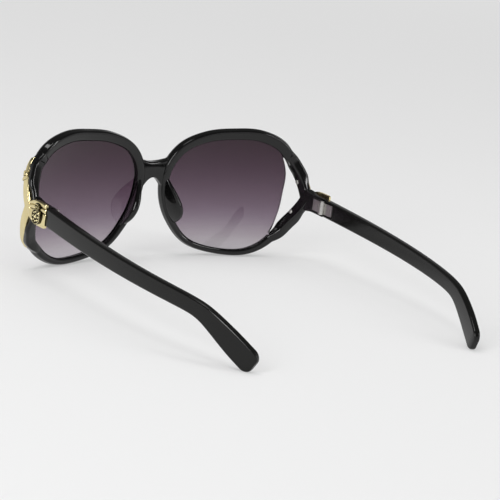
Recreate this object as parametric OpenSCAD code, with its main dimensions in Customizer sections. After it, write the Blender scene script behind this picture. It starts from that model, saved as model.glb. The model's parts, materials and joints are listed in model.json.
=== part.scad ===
// Oversized sunglasses: a moulded front with two forked side arms, metal trims, tinted lenses
// and two folding temples. The front is drawn in its own upright frame, lens centres level with
// the origin, and then leaned until its rims and the temple tips stand on one plane.

/* [Lenses] */
// Width of one lens opening
lens_w = 60; // [54:1:66]
// Height of one lens opening
lens_h = 53; // [47:1:58]
// Distance between the two lens openings
bridge_gap = 17.5; // [15:0.5:21]
// Radius that each lens is curved to
base_r = 106; // [88:2:150]
// Thickness of a lens
lens_t = 2; // [1.6:0.1:2.4]
// Angle that each lens turns back round the face, in degrees
wrap = 11; // [6:1:14]

/* [Rims] */
// Width of the rim over the lens
rim_w = 4.9; // [4.2:0.1:6]
// Depth of the rim in front of the middle of the lens
rim_front = 2.4; // [2:0.1:3]
// Depth of the rim behind the middle of the lens
rim_back = 2.9; // [2.3:0.1:3.6]
// How far the lens edge reaches into the rim
lens_seat = 0.9; // [0.6:0.1:1.2]

/* [Bridge and nose pads] */
// Height of the bridge at its middle
bridge_h = 7.2; // [5.5:0.1:9]
// Depth of the bridge from front to back
bridge_t = 4.6; // [3.6:0.1:6]
// How far the nose pads stand back from the rims
pad_reach = 8.5; // [5:0.5:10]
// Height of a nose pad
pad_h = 21.5; // [15:0.5:23]
// Thickness of a nose pad
pad_t = 3.2; // [2.4:0.1:4.4]

/* [Side arms] */
// How far the fork of the arms lies behind the lens edge
arm_sweep = 12; // [9:0.5:15]
// How far the fork of the arms stands out from the lens edge
arm_flare = 2.8; // [1.5:0.1:4]
// Width of an arm, seen from the side
arm_w = 6; // [5:0.1:7]
// Thickness of an arm and of its end piece
arm_t = 3.5; // [3:0.1:4.2]
// Length of the end piece behind the fork
end_l = 14; // [12:0.5:18]
// Height of the end piece at the hinge
end_h = 8.4; // [7.6:0.1:9.6]

/* [Metal trim] */
// Thickness of the cast trim
trim_t = 1.3; // [1:0.1:1.6]
// Width of the trim on the arms, seen from the side
trim_w = 4.2; // [3.6:0.1:4.6]
// Width of the trim on the arms, seen from the front
trim_lip_w = 2.3; // [1.8:0.1:2.8]
// Thickness of the trim over the front of the arms
trim_lip_t = 0.9; // [0.7:0.1:1.2]
// Height of the cap over the end piece
cap_h = 10.4; // [9.4:0.1:11.5]
// Radius of the rosette
rosette_r = 3.4; // [2.8:0.1:4]
// How far the rosette lies behind the fork of the arms
rosette_set = 8.2; // [7:0.1:9]
// Number of petals on the rosette
petals = 8; // [6:1:10]

/* [Temples] */
// Reach of a temple behind its hinge
temple_reach = 125; // [112:1:135]
// Height of a temple at its hinge
temple_h = 7.8; // [7:0.1:8.6]
// Height of a temple at its tip
tip_h = 9.6; // [8:0.1:11]
// Thickness of a temple at its hinge
temple_t = 4.1; // [3.6:0.1:4.6]
// Thickness of a temple at its tip
tip_t = 2.9; // [2.4:0.1:3.6]
// Drop of the temple tip below the line of the bar
ear_drop = 14; // [10:1:20]
// How far the tip comes in towards the head
tip_inset = 17; // [12:1:20]

/* [Hinges] */
// How far the hinge lies below the fork of the arms
hinge_drop = 0.4; // [0:0.1:0.8]
// Radius of the hinge knuckles
knuckle_r = 1.5; // [1.3:0.05:1.7]
// Height of the hinge
hinge_h = 5.6; // [5:0.1:6.2]
// Radius of the hinge screw
hinge_pin_r = 0.7; // [0.6:0.05:0.8]
// Running clearance round the hinge screw
hinge_fit = 0.04; // [0.02:0.01:0.08]
// Thickness of the hinge leaves
leaf_t = 0.9; // [0.7:0.05:1.1]

/* [Hidden] */
$fn = 48;

// Clearances and small sizes
seat_gap = 0.05;
groove_gap = 0.1;
trim_gap = 0.12;
cap_gap = 0.1;
joint_gap = 0.1;
overrun = 1;
edge_round = 0.7;

// Points round a lens opening, from the fork over the top to the nose and back below,
// as shares of half its width and half its height
outline_shares = [[1, 0.05], [0.99, 0.45], [0.82, 0.81], [0.46, 0.98], [0.04, 0.985],
    [-0.38, 0.93], [-0.76, 0.75], [-0.97, 0.4], [-0.97, -0.05], [-0.82, -0.46],
    [-0.52, -0.82], [-0.04, -0.98], [0.46, -0.975], [0.82, -0.73], [0.96, -0.34]];
// Width of the rim at each of those points, as shares of its width over the lens
rim_w_shares = [1.04, 1.06, 1.06, 1.02, 0.98, 0.95, 0.9, 0.85, 0.76, 0.64, 0.58, 0.57, 0.62,
    0.76, 0.94];
turns = len(outline_shares);
steps = 4;
// Where the arms leave the rim, above and below, as shares of the way round
corner_shares = [7 / 60, 13 / 15];
corner_top = corner_shares[0] * turns;
corner_bottom = corner_shares[1] * turns;
fade_share = 0.3;

lens_x = (lens_w + bridge_gap) / 2;

// Cubic through four values, from the second to the third
function blend4(a, b, c, d, t) = 0.5 * (2 * b + (c - a) * t + (2 * a - 5 * b + 4 * c - d) * t * t
    + (3 * b - a - 3 * c + d) * t * t * t);
// Value at place k on a closed list
function round_list(list, k) = let (n = len(list), i = floor(k), t = k - i)
    blend4(list[(i - 1 + n) % n], list[(i + n) % n], list[(i + 1 + n) % n], list[(i + 2 + n) % n], t);
function unit(v) = v / norm(v);
function ease(x) = let (t = max(0, min(1, x))) t * t * (3 - 2 * t);

// Place on the outline of the left lens opening, in the plane of the lens
function outline_at(k) = let (p = round_list(outline_shares, k)) [p[0] * lens_w / 2, p[1] * lens_h / 2];
function sag(u, v) = base_r - sqrt(base_r * base_r - u * u - v * v);
function on_lens(u, v) = [lens_x + u * cos(wrap) - sag(u, v) * sin(wrap),
    u * sin(wrap) + sag(u, v) * cos(wrap), v];
// Direction from a place on the lens towards the centre of its sphere
function lens_normal(u, v) = let (w = sqrt(base_r * base_r - u * u - v * v))
    [-u * cos(wrap) - w * sin(wrap), w * cos(wrap) - u * sin(wrap), -v] / base_r;
// Share of an arm, 0 on the rim and 1 at the fork
function arm_share(k) = k < corner_top ? 1 - k / corner_top
    : k > corner_bottom ? (k - corner_bottom) / (turns - corner_bottom) : 0;
function loop_point(k) = let (p = outline_at(k), s = arm_share(k))
    on_lens(p[0], p[1]) + [arm_flare * ease(s), arm_sweep * pow(s, 1.2), 0];
// Place, outward direction and backward direction of the section at place k
function loop_frame(k) = let (p = outline_at(k), d = 0.05, at_fork = k < d || k > turns - d,
    t = at_fork ? [0, 0, -1] : unit(loop_point(k - d) - loop_point(k + d)),
    b = ease(arm_share(k) / fade_share),
    back = unit((1 - b) * lens_normal(p[0], p[1]) + b * [0, 1, 0]),
    inward = unit(back - (back * t) * t), out = cross(inward, t))
    [loop_point(k), out * sign(out * [p[0], 0, p[1]]), inward];

// Sections of the front, as distances outwards and backwards from the lens opening
groove_h = lens_t / 2 + groove_gap;
groove_d = lens_seat + lens_t / 2 * tan(asin(lens_w / 2 / base_r)) + 2 * groove_gap;
lip_t = 0.4;
ridge_w = 1.6;
step_w = 0.5;
// Outer front edge of the rim, as shares of its width and of its depth in front
brow_shares = [[1, 0.1], [0.86, 0.66], [0.6, 1]];
function rim_section(w) = concat([[0, groove_h], [0, rim_back - edge_round], [edge_round, rim_back],
    [w - edge_round, rim_back], [w, rim_back - edge_round], [w, rim_back * 0.45], [w, rim_back * 0.2]],
    [for (s = brow_shares) [w * s[0], -rim_front * s[1]]],
    [[ridge_w, -rim_front * 0.9], [ridge_w - step_w, -groove_h - lip_t], [0, -groove_h - lip_t],
    [0, -groove_h], [groove_d, -groove_h], [groove_d, groove_h]]);
arm_in = 0.5;
trim_bed = trim_t + trim_gap;
function arm_section(h) = let (a = arm_in, b = arm_in + arm_t + trim_bed, r = edge_round)
    [[a, h * 0.4], [a, h - r], [a + r, h], [b - r, h], [b, h - r], [b, h * 0.35], [b, h * 0.2],
    [b, -h * 0.3], [b, r - h], [b - r, -h], [a + r, -h], [a, r - h], [a, -h * 0.6], [a, -h * 0.45],
    [a, -h * 0.3], [a, 0]];
// At the fork both arms are cut upright, so their sections are longer there
fork_mitre = 1 / abs(unit(loop_point(corner_top / 4) - loop_point(0))[2]);
function mitre(k) = arm_share(k) > 0.99 ? fork_mitre : 1;
function plain_section(k) = let (b = ease(arm_share(k) / fade_share))
    rim_section(rim_w * round_list(rim_w_shares, k)) * (1 - b) + arm_section(arm_w / 2 * mitre(k)) * b;

// Bed of the trim: a step round the outer front edge of each arm, which the trim fills flush.
// Behind it stays a ledge, which fades out towards the fork
trim_start_share = 0.12;
trim_end_share = 0.5;
ledge_shares = [0.55, 0.8];
function trim_width(k) = trim_w * mitre(k)
    * (trim_end_share + (1 - trim_end_share) * ease(arm_share(k) * 1.4));
function bed_section(k) = let (u = plain_section(k), out = u[7][0], front = u[9][1],
    fade = ease((arm_share(k) - ledge_shares[0]) / (ledge_shares[1] - ledge_shares[0])),
    ledge = out - trim_bed * fade, rear = front + trim_width(k) + trim_gap,
    shelf = front + trim_lip_t + trim_gap, lip = out - trim_lip_w - trim_gap)
    [u[0], u[1], u[2], [ledge - edge_round, u[3][1]], [ledge, u[4][1]], [ledge, rear],
    [out - trim_bed, rear], [out - trim_bed, shelf], [lip, shelf], [lip, front],
    u[10], u[11], u[12], u[13], u[14], u[15]];
function ring_at(k) = let (f = loop_frame(k))
    [for (p = arm_share(k) < trim_start_share ? plain_section(k) : bed_section(k))
        f[0] + f[1] * p[0] + f[2] * p[1]];

// Stations round the front: few on the arms, even steps on the rim
bed_step_share = 0.006;
trim_tip_share = trim_start_share + 2 * bed_step_share;
trim_shares = [0.84, 0.7, 0.57, 0.52, 0.435, 0.35, 0.26, 0.18, trim_tip_share];
arm_shares = concat(trim_shares,
    [trim_start_share + bed_step_share, trim_start_share - bed_step_share, 0.055]);
upper_places = [for (s = arm_shares) corner_top * (1 - s)];
lower_places = [for (i = [len(arm_shares) - 1:-1:0])
    corner_bottom + (turns - corner_bottom) * arm_shares[i]];
rim_count = round((corner_bottom - corner_top) * steps);
rim_places = [for (i = [0:rim_count]) corner_top + (corner_bottom - corner_top) * i / rim_count];
loop_places = concat([0], upper_places, rim_places, lower_places);

// Closed skin over a row of rings, with flat ends or joined end to end
module loft(rings, ring_closed = false) {
    m = len(rings[0]);
    n = len(rings);
    last = ring_closed ? n - 1 : n - 2;
    sides = [for (i = [0:last], j = [0:m - 1])
        let (a = i * m + j, b = i * m + (j + 1) % m, c = (i + 1) % n * m + (j + 1) % m,
            d = (i + 1) % n * m + j) each [[a, b, c], [a, c, d]]];
    ends = ring_closed ? [] : [[for (j = [m - 1:-1:0]) j], [for (j = [0:m - 1]) (n - 1) * m + j]];
    polyhedron([for (r = rings) each r], concat(sides, ends));
}

// Rounded rectangle of half sizes a and b, as offsets along two directions
corner_steps = 2;
function round_rect(a, b, r) = [for (c = [[1, 1, 0], [-1, 1, 90], [-1, -1, 180], [1, -1, 270]],
    i = [0:corner_steps]) let (t = c[2] + 90 * i / corner_steps)
    [c[0] * (a - r) + r * cos(t), c[1] * (b - r) + r * sin(t)]];

module frame_loop() loft([for (k = loop_places) ring_at(k)], true);

// Bridge: a saddle between the rims with an arch under it
bridge_set = 0.4;
bridge_y = on_lens(-lens_w / 2, 0)[1] + bridge_set;
bridge_x = on_lens(-lens_w / 2, 0)[0] - groove_d - groove_gap;
bridge_top = 0.275 * lens_h;
bridge_rise = 0.2 * bridge_h;
arch_drop = 1.05 * bridge_h;
bridge_stations = 14;
// At its ends the bridge is thinner and lies further back
bridge_thin_share = 0.3;
bridge_back = 0.7;
// Its roots, which pass over the lens edges: places across, tops and feet, as shares of its
// half span and of the lens height
root_shares = [[1.006, 0.303, 0.18], [1.28, 0.333, 0.268]];
function bridge_ring(x, top, low) = let (e = min(1, pow(x / bridge_x, 2)),
    half = bridge_t / 2 * (1 - bridge_thin_share * e))
    [for (p = round_rect(half, (top - low) / 2, edge_round))
        [x, bridge_y + bridge_back * e + p[0], (top + low) / 2 + p[1]]];
function saddle_ring(s) = bridge_ring(-s * bridge_x, bridge_top + bridge_rise * s * s,
    bridge_top - bridge_h - arch_drop * s * s);
function root_ring(i, side) = let (r = root_shares[i])
    bridge_ring(side * r[0] * bridge_x, r[1] * lens_h, r[2] * lens_h);
module bridge() loft(concat([root_ring(1, 1), root_ring(0, 1)],
    [for (i = [0:bridge_stations]) saddle_ring(2 * i / bridge_stations - 1)],
    [root_ring(0, -1), root_ring(1, -1)]));

// Nose pad: a fin that stands back from the nose side of the rim and rounds off above and below
nose_side = [for (k = [10.75:-0.25:6.5]) let (p = outline_at(k)) [p[1], p[0]]];
pad_top = 0.145 * lens_h;
// The pad is widest below its middle
pad_skew_share = 1.35;
pad_stations = 12;
pad_splay = 24;
pad_foot_share = 0.45;
pad_start = groove_h + lip_t;
function pad_ring(s) = let (z = pad_top - pad_h * s, swell = pow(sin(180 * pow(s, pad_skew_share)), 0.7),
    reach = (rim_back - pad_start) * pad_foot_share + pad_reach * swell,
    dir = [sin(pad_splay), cos(pad_splay), 0], side = cross([0, 0, 1], dir),
    root = on_lens(lookup(z, nose_side) - rim_w * 0.42, z) + dir * pad_start,
    half = pad_t / 2 * (pad_foot_share + (1 - pad_foot_share) * swell))
    [for (p = round_rect(reach / 2, half, half * 0.9))
        root + dir * (reach / 2 + p[0]) + side * p[1]];
module nose_pad() loft([for (i = [0:pad_stations])
    pad_ring((1 - cos(180 * i / pad_stations)) / 2)]);

// End piece: flares out of the fork and ends square at the hinge
fork = loop_point(0);
end_in = fork[0] + arm_in;
end_out = end_in + arm_t;
hinge_y = fork[1] + end_l;
hinge_z = fork[2] - hinge_drop;
// Places along the end piece, and its half heights and thicknesses there, as shares
end_shares = [[-0.14, 0.36, 0.55], [-0.02, 0.55, 0.7], [0.08, 0.6, 0.85], [0.2, 0.57, 1],
    [0.36, 0.52, 1], [0.55, 0.5, 1], [1, 0.5, 1]];
function end_ring(e) = [for (p = round_rect(e[2] * arm_t / 2, e[1] * end_h, edge_round))
    [end_in + e[2] * arm_t / 2 + p[0], fork[1] + e[0] * (end_l - joint_gap / 2),
        fork[2] + (hinge_z - fork[2]) * max(0, e[0]) + p[1]]];
module end_piece() loft([for (e = end_shares) end_ring(e)]);

// Hinge: its axis stands on the joint between the end piece and the temple
axis_set = 0.2;
axis_x = end_in - axis_set;
leaf_l = 6.8;
leaf_h = 0.92 * hinge_h;
middle_share = 0.38;
knuckle_gap = 0.08;
scoop_gap = 0.15;
scoop_r = knuckle_r + scoop_gap;
leaf_screw_r = 0.55;
leaf_head_r = 0.95;
leaf_head_t = 0.4;
leaf_screw_l = 2.6;
leaf_screw_shares = [0.42, 0.78];
screw_head_r = 1.2;
screw_head_t = 0.55;
slot_w = 0.3;
hole_gap = seat_gap / 2;
temple_set = 0.1;
mid_h = middle_share * hinge_h;
side_h = (hinge_h - mid_h) / 2 - knuckle_gap;
// Inner face that a leaf lies flush with: side is -1 in front of the axis and 1 behind it
function leaf_face(side) = axis_set + (side > 0 ? temple_set : 0);

module at_hinge() translate([axis_x, hinge_y, hinge_z]) children();
module at_leaf_screws(side) at_hinge() for (e = leaf_screw_shares)
    translate([leaf_face(side), side * e * leaf_l, 0]) rotate([0, 90, 0]) children();
// Room for the knuckles and the head of the hinge screw
module scoop() at_hinge() translate([0, 0, -hinge_h / 2 - scoop_gap])
    cylinder(hinge_h + screw_head_t + 2 * scoop_gap, scoop_r, scoop_r);
// Room for a leaf and its screws
module leaf_bed(side) {
    at_hinge() translate([leaf_face(side) - overrun, side > 0 ? -overrun : -leaf_l - seat_gap,
        -leaf_h / 2 - seat_gap])
        cube([leaf_t + seat_gap + overrun, leaf_l + seat_gap + overrun, leaf_h + 2 * seat_gap]);
    at_leaf_screws(side)
        cylinder(leaf_screw_l + seat_gap, leaf_screw_r + hole_gap, leaf_screw_r + hole_gap);
}

// Rivets: pressed through the arms into the trim, with their heads on the inner side
rivet_r = 0.7;
rivet_head_r = 1.1;
rivet_head_t = 0.5;
rivet_bite = 0.6;
rivet_seat = 0.12;
rivet_share = 0.62;
rivet_set = -0.25 * trim_w;
rivet_l = rivet_seat + arm_t + trim_gap + rivet_bite;
// Head of a rivet, as shares of its radius and thickness
rivet_shares = [[0, 1], [0.5, 0.9], [0.85, 0.5], [1, 0]];
rivet_places = [corner_top * (1 - rivet_share), corner_bottom + (turns - corner_bottom) * rivet_share];
// Stands at distance d out from place k, facing outwards
module on_arm(k, d, set) {
    f = loop_frame(k);
    n = f[1];
    translate(f[0] + n * d + f[2] * set) rotate([0, acos(n[2]), atan2(n[1], n[0])]) children();
}
module rivet() rotate_extrude() polygon(concat(
    [for (s = rivet_shares) [s[0] * rivet_head_r, -s[1] * rivet_head_t]],
    [[rivet_r, 0], [rivet_r, rivet_l], [0, rivet_l]]));
module rivet_holes() for (k = rivet_places) on_arm(k, arm_in - rivet_seat - overrun, rivet_set)
    cylinder(overrun + rivet_l + seat_gap, rivet_r + hole_gap, rivet_r + hole_gap);

module mirrored() {
    children();
    mirror([1, 0, 0]) children();
}

module front_frame() color("black") difference() {
    union() {
        mirrored() {
            frame_loop();
            end_piece();
            nose_pad();
        }
        bridge();
    }
    mirrored() {
        scoop();
        leaf_bed(-1);
        rivet_holes();
    }
}

// Lens: part of a spherical shell, cut to the outline
bare_inset = 0.3;
function lens_edge(k) = let (d = 0.02, a = outline_at(k - d), b = outline_at(k + d), t = unit(b - a),
    out = [t[1], -t[0]], e = lens_seat - (lens_seat + bare_inset) * ease(arm_share(k) / 0.08))
    outline_at(k) + e * out * sign(out * outline_at(k));
module lens() color("purple", 0.5)
    translate([lens_x, 0, 0]) rotate([0, 0, wrap]) rotate([-90, 0, 0]) intersection() {
        translate([0, 0, base_r]) difference() {
            sphere(base_r + lens_t / 2, $fn = 180);
            sphere(base_r - lens_t / 2, $fn = 180);
        }
        translate([0, 0, -lens_t]) linear_extrude(base_r / 2)
            polygon([for (k = loop_places) let (p = lens_edge(k)) [p[0], -p[1]]]);
    }

// Metal trim: an angle strip let into both arms, with a banded collar on the upper one, that
// carries on over the end piece as a cap of three lengthways lobes
trim_round = 0.3;
trim_bevel = 0.8;
collar_rise = 0.45;
// Places along the upper arm and how far the strip stands out there, as shares
collar_shares = [[0.52, 0], [0.51, 1], [0.475, 1], [0.465, 0.35], [0.405, 0.35], [0.395, 1], [0.36, 1],
    [0.35, 0]];
trim_stations = concat([for (i = [len(trim_shares) - 1:-1:0])
        [corner_bottom + (turns - corner_bottom) * trim_shares[i], 0]], [[0, 0]],
    [for (s = trim_shares) if (s > collar_shares[0][0]) [corner_top * (1 - s), 0]],
    [for (c = collar_shares) [corner_top * (1 - c[0]), c[1] * collar_rise]],
    [for (s = trim_shares) if (s < collar_shares[7][0]) [corner_top * (1 - s), 0]]);
function trim_ring(k, rise) = let (f = loop_frame(k), u = plain_section(k), top = u[7][0] + rise,
    front = u[9][1], rear = front + trim_width(k), face = front - rise, lip = u[7][0] - trim_lip_w,
    bottom = u[7][0] - trim_t, shelf = front + trim_lip_t, r = trim_round, c = trim_bevel)
    [for (p = [[bottom, rear], [top - r, rear], [top, rear - r], [top, face + c],
        [top - c * 0.3, face + c * 0.3], [top - c, face], [lip, face], [lip, shelf], [bottom, shelf]])
        f[0] + f[1] * p[0] + f[2] * p[1]];
// Places along the cap, its half heights, its thicknesses and how far its inner side stands out
// there, as shares. It starts inside the strip
cap_shares = [[-0.1, 0.26, 0.5, 0.25], [0.05, 0.33, 0.9, 0], [0.18, 0.4, 0.95, 0], [0.32, 0.47, 1, 0],
    [0.48, 0.5, 1, 0], [0.8, 0.5, 1, 0], [0.93, 0.49, 0.9, 0], [0.98, 0.46, 0.6, 0]];
// Edges of the lobes up the cap and the form of each one, as shares
lobe_edges = [0, 0.59, 0.8, 1];
lobe_shares = [[0, 0.72], [0.16, 1.04], [0.5, 1.22], [0.84, 1.04]];
cap_z = hinge_z + 0.3;
cap_face = end_out + cap_gap;
function cap_ring(e) = let (t = trim_t * e[2], h = cap_h * e[1], y = fork[1] + e[0] * end_l,
    z = fork[2] + (cap_z - fork[2]) * min(1, max(0, e[0] / cap_shares[3][0])))
    concat([[cap_face + trim_t * e[3], y, z + h], [cap_face + trim_t * e[3], y, z - h]],
    [for (i = [0:len(lobe_edges) - 2], s = lobe_shares) let (a = lobe_edges[i], b = lobe_edges[i + 1])
        [cap_face + t * s[1], y, z + h * (2 * (a + (b - a) * s[0]) - 1)]],
    [[cap_face + t * lobe_shares[0][1], y, z + h]]);
cap_top = cap_face + trim_t * lobe_shares[2][1];
stem_r = 0.7;
stem_l = 0.9;
// Boss on the outer face of the collar, as shares of its radius and of its height
boss_r = 1.45;
boss_t = 0.75;
boss_share = 0.435;
boss_shares = [[0, -0.6], [1, -0.6], [1, 0.5], [0.9, 0.75], [0.76, 0.75], [0.66, 0.45], [0.56, 0.5],
    [0.42, 0.85], [0.2, 1], [0, 1.04]];
boss_place = corner_top * (1 - boss_share);
boss_seat = plain_section(boss_place)[7][0];
boss_set = plain_section(boss_place)[9][1] + trim_width(boss_place) / 2;
module boss() on_arm(boss_place, boss_seat, boss_set)
    rotate_extrude() polygon([for (s = boss_shares) [s[0] * boss_r, s[1] * boss_t]]);
module side_trim() color("gold") difference() {
    union() {
        loft([for (s = trim_stations) trim_ring(s[0], s[1])]);
        loft([for (e = cap_shares) cap_ring(e)]);
        boss();
    }
    rivet_holes();
    at_rosette() translate([0, 0, -stem_l - hole_gap])
        cylinder(stem_l + overrun, stem_r + hole_gap, stem_r + hole_gap);
}

module trim_rivets() color("silver") for (k = rivet_places)
    on_arm(k, arm_in - rivet_seat, rivet_set) rivet();

// Rosette: a dished disc with a ring of petals round a bead, and a small one above it
rosette_t = 1.5;
small_share = 0.5;
// Profile of a disc, as shares of its radius and thickness
disc_shares = [[0, 0], [1, 0], [1, 0.45], [0.94, 0.6], [0.84, 0.6], [0.78, 0.4], [0.34, 0.4],
    [0.3, 0.75], [0.2, 0.95], [0, 1]];
petal_ring_share = 0.57;
petal_share = 0.19;
rosette_y = fork[1] + rosette_set;
rosette_z = cap_z - 0.35 * rosette_r;
module at_rosette() translate([cap_top + seat_gap, rosette_y, rosette_z]) rotate([0, 90, 0]) children();
module disc(r, t) {
    rotate_extrude() polygon([for (s = disc_shares) [s[0] * r, s[1] * t]]);
    for (i = [0:petals - 1]) rotate([0, 0, 360 * i / petals]) translate([r * petal_ring_share, 0, t * 0.4])
        sphere(r * min(petal_ring_share * sin(180 / petals) * 0.92, petal_share), $fn = 20);
}
module rosette() color("darkgoldenrod") at_rosette() {
    disc(rosette_r, rosette_t);
    translate([-rosette_r * (1 + small_share * 0.4), 0, 0]) disc(rosette_r * small_share, rosette_t * 0.8);
    translate([0, 0, -stem_l]) cylinder(stem_l + rosette_t * 0.2, stem_r, stem_r);
}

// Hinge leaves, screws and temples
module knuckle(z, h, fit) translate([0, 0, z]) difference() {
    cylinder(h, knuckle_r, knuckle_r);
    translate([0, 0, -overrun]) cylinder(h + 2 * overrun, hinge_pin_r + fit, hinge_pin_r + fit);
}
module leaf_plate(side) difference() {
    at_hinge() translate([leaf_face(side), side > 0 ? 0 : -leaf_l, -leaf_h / 2])
        cube([leaf_t, leaf_l, leaf_h]);
    at_leaf_screws(side) translate([0, 0, -overrun]) {
        cylinder(leaf_t + 2 * overrun, leaf_screw_r + hole_gap, leaf_screw_r + hole_gap);
        cylinder(overrun + leaf_head_t + hole_gap, leaf_head_r + hole_gap, leaf_head_r + hole_gap);
    }
    at_hinge() {
        cylinder(hinge_h + overrun, hinge_pin_r + hinge_fit, hinge_pin_r + hinge_fit, center = true);
        children();
    }
}
module front_leaf() color("dimgray") {
    at_hinge() for (z = [-hinge_h / 2, hinge_h / 2 - side_h]) knuckle(z, side_h, hinge_fit);
    leaf_plate(-1) cylinder(mid_h + 2 * knuckle_gap, scoop_r, scoop_r, center = true);
}
module temple_leaf() color("dimgray") {
    at_hinge() knuckle(-mid_h / 2, mid_h, hinge_fit);
    leaf_plate(1) for (z = [-hinge_h / 2 - knuckle_gap, mid_h / 2])
        translate([0, 0, z]) cylinder(side_h + 2 * knuckle_gap, scoop_r, scoop_r);
}
module hinge_screw() color("silver") at_hinge() difference() {
    union() {
        translate([0, 0, -hinge_h / 2]) cylinder(hinge_h + hole_gap, hinge_pin_r, hinge_pin_r);
        translate([0, 0, hinge_h / 2 + hole_gap]) cylinder(screw_head_t, screw_head_r, screw_head_r);
    }
    translate([-screw_head_r, -slot_w / 2, hinge_h / 2 + screw_head_t / 2])
        cube([2 * screw_head_r, slot_w, screw_head_t]);
}
module leaf_screws(side) color("silver") at_leaf_screws(side) difference() {
    union() {
        cylinder(leaf_head_t, leaf_head_r, leaf_head_r);
        cylinder(leaf_screw_l, leaf_screw_r, leaf_screw_r);
    }
    translate([-leaf_head_r, -slot_w / 2, -leaf_head_t / 2]) cube([2 * leaf_head_r, slot_w, leaf_head_t]);
}

// Temple: a flat bar that bows out, comes in and turns down behind the ear to a flared tip
temple_bow = 1.5;
bar_slope_share = 0.066;
bend_share = 0.81;
bend_soft_share = 0.05;
tip_round = 3;
bar_taper_share = 0.84;
temple_edge = 0.9;
temple_stations = 20;
function bend_from(s) = s - bend_share + norm([s - bend_share, bend_soft_share]);
function ear_bend(s) = (bend_from(s) - bend_from(0)) / (bend_from(1) - bend_from(0));
function temple_point(s) = [
    end_in + temple_set + temple_t / 2 + temple_bow * 4 * s * (1 - s) - tip_inset * s * s * s,
    hinge_y + joint_gap / 2 + temple_reach * s,
    hinge_z - temple_reach * bar_slope_share * s - ear_drop * ear_bend(s)];
function temple_height(s) = temple_h * (1 - (1 - bar_taper_share) * ease(s / bend_share))
    + (tip_h - temple_h * bar_taper_share) * ease((s - bend_share + bend_soft_share) / (1 - bend_share));
function temple_ring(s, cut) = let (d = 0.002,
    t = s < d ? [0, 1, 0] : unit(temple_point(s + d) - temple_point(s - d)),
    up = unit([0, 0, 1] - t[2] * t), side = cross(t, up),
    half = (temple_t + (tip_t - temple_t) * s) / 2 * (1 - 0.45 * cut / tip_round),
    h = temple_height(s) / 2 - cut)
    [for (p = round_rect(half, h, min(temple_edge, half * 0.7)))
        temple_point(s) + side * p[0] + up * p[1]];
tip_span = tip_round / temple_reach;
function temple_step(i) = let (s = i / temple_stations) (1 - tip_span) * s * (1.35 - 0.35 * s);
temple_rings = concat([for (i = [0:temple_stations]) temple_ring(temple_step(i), 0)],
    [for (t = [30, 55, 75]) temple_ring(1 - tip_span * (1 - sin(t)), tip_round * (1 - cos(t)))]);
module temple() color("black") difference() {
    loft(temple_rings);
    scoop();
    leaf_bed(1);
}

// Lean of the whole, so that the rims and the temple tips stand on one plane
rim_points = [for (k = [9:0.5:13]) each ring_at(k)];
tip_points = [for (i = [temple_stations - 2:len(temple_rings) - 1]) each temple_rings[i]];
front_points = [for (k = [2:0.5:12.5]) each ring_at(k)];
function lowest(points, lean) = let (h = [for (p = points) p[1] * sin(lean) + p[2] * cos(lean)])
    points[search(min(h), h)[0]];
function settle(lean, n) = n == 0 ? lean : let (a = lowest(rim_points, lean), b = lowest(tip_points, lean))
    settle(atan2(a[2] - b[2], b[1] - a[1]), n - 1);
lean = settle(0, 4);
low_point = lowest(rim_points, lean);
low_z = low_point[1] * sin(lean) + low_point[2] * cos(lean);
front_y = min([for (p = front_points) p[1] * cos(lean) - p[2] * sin(lean)]);
back_y = max([for (p = tip_points) p[1] * cos(lean) - p[2] * sin(lean)]);
module standing() translate([0, -(front_y + back_y) / 2, -low_z]) rotate([lean, 0, 0]) children();

module left() standing() children();
module right() standing() mirror([1, 0, 0]) children();

standing() front_frame();
left() lens();  // lens_left
right() lens();  // lens_right
left() side_trim();  // side_trim_left
right() side_trim();  // side_trim_right
left() rosette();  // rosette_left
right() rosette();  // rosette_right
left() trim_rivets();  // trim_rivets_left
right() trim_rivets();  // trim_rivets_right
left() front_leaf();  // front_leaf_left
right() front_leaf();  // front_leaf_right
left() temple_leaf();  // temple_leaf_left
right() temple_leaf();  // temple_leaf_right
left() hinge_screw();  // hinge_screw_left
right() hinge_screw();  // hinge_screw_right
left() leaf_screws(-1);  // front_leaf_screws_left
right() leaf_screws(-1);  // front_leaf_screws_right
left() leaf_screws(1);  // temple_leaf_screws_left
right() leaf_screws(1);  // temple_leaf_screws_right
left() temple();  // temple_left
right() temple();  // temple_right
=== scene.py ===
import json
import bpy
import numpy as np
from mathutils import Matrix, Vector


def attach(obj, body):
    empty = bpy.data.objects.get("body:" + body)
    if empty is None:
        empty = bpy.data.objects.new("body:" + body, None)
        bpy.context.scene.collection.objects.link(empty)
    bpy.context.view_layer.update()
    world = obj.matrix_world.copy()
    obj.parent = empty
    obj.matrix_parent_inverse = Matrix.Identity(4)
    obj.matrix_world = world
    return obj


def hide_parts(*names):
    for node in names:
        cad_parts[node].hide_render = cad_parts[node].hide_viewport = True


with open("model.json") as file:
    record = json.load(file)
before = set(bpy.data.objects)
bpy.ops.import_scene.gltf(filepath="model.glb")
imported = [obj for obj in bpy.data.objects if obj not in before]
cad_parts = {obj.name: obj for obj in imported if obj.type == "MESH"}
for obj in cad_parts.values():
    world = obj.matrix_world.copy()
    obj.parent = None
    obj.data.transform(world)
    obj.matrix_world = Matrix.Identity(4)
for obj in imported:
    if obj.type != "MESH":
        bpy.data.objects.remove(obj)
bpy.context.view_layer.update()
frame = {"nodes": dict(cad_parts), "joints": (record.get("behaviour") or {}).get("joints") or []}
print("frame loaded")

# Shapes are worked out in millimetres in the front's own upright frame, as the part's source does,
# and placed through the left hinge, whose place and axis the record gives
mm = 0.001

lens = dict(width=60, height=53, gap=17.5, baseRadius=106, thickness=2, wrap=11, seat=0.9,
            bareInset=0.3, bareShare=0.08, bevel=0.25, turnSteps=360, radialSteps=36)

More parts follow.
